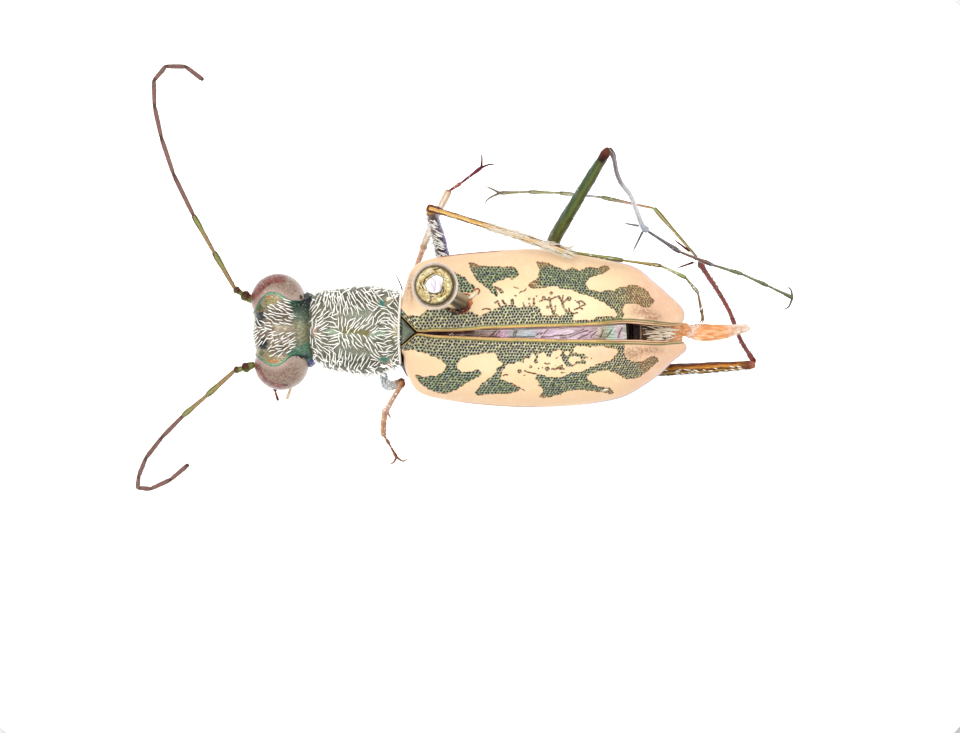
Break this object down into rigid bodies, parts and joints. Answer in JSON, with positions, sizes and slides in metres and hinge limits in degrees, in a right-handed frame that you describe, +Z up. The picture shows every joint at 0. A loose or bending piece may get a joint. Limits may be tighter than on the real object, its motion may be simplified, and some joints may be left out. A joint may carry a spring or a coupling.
{
  "type": "pinned tiger beetle",
  "caption": "Life-size still tiger beetle on an insect pin in a pale foam block, legs and feelers spread as dried, wing cases a little parted.",
  "frame": {"origin": "middle of the underside of the foam block", "axes": "+X from the beetle's head to its tail, +Y to the beetle's right, +Z up"},
  "size_m": [0.028, 0.0216, 0.0158],
  "materials": {
    "foam": "matt, fine closed-cell foam",
    "pin": "polished, a little dull",
    "cuticle": "metallic grey-green with copper and blue lights, finely wrinkled, with white hairs",
    "eye": "smooth, finely faceted, grey brown",
    "ivory": "smooth, pale, with dark tips",
    "palp": "smooth, pale brown with dark tips",
    "antenna_base": "shiny green and copper",
    "antenna": "dull mauve brown, finely hairy",
    "elytra": "peach ivory with pitted dark bronze-green markings",
    "wing": "thin veined membrane, faintly iridescent",
    "genitalia": "fibrous, orange",
    "leg_green": "metallic olive green with white hairs",
    "leg_brown": "copper brown to orange with white hairs"
  },
  "bodies": {
    "root": {"stand_base": "foam", "stand_pin": "pin", "head": "cuticle", "eye_right": "eye", "eye_left": "eye", "labrum": "ivory", "mandible_right": "ivory", "mandible_left": "ivory", "maxillary_palp_right": "palp", "maxillary_palp_left": "palp", "labial_palp_right": "palp", "labial_palp_left": "palp", "antenna_right_base": "antenna_base", "antenna_right_middle": "antenna_base", "antenna_right_tip": "antenna", "antenna_left_base": "antenna_base", "antenna_left_middle": "antenna_base", "antenna_left_tip": "antenna", "pronotum": "cuticle", "scutellum": "cuticle", "thorax": "cuticle", "abdomen": "cuticle", "elytron_right": "elytra", "elytron_left": "elytra", "hindwing_right": "wing", "hindwing_left": "wing", "aedeagus": "genitalia", "coxa_front_right": "leg_brown", "femur_front_right": "leg_brown", "tibia_front_right": "leg_brown", "tarsus_front_right": "leg_brown", "coxa_front_left": "leg_brown", "femur_front_left": "leg_brown", "tibia_front_left": "leg_brown", "tarsus_front_left": "leg_brown", "coxa_middle_right": "leg_brown", "femur_middle_right": "leg_brown", "tibia_middle_right": "leg_brown", "tarsus_middle_right": "leg_brown", "coxa_middle_left": "leg_brown", "femur_middle_left": "leg_brown", "tibia_middle_left": "leg_brown", "tarsus_middle_left": "leg_brown", "coxa_hind_right": "leg_green", "femur_hind_right": "leg_green", "tibia_hind_right": "leg_green", "tarsus_hind_right": "leg_green", "coxa_hind_left": "leg_green", "femur_hind_left": "leg_green", "tibia_hind_left": "leg_green", "tarsus_hind_left": "leg_green"}
  },
  "joints": []
}
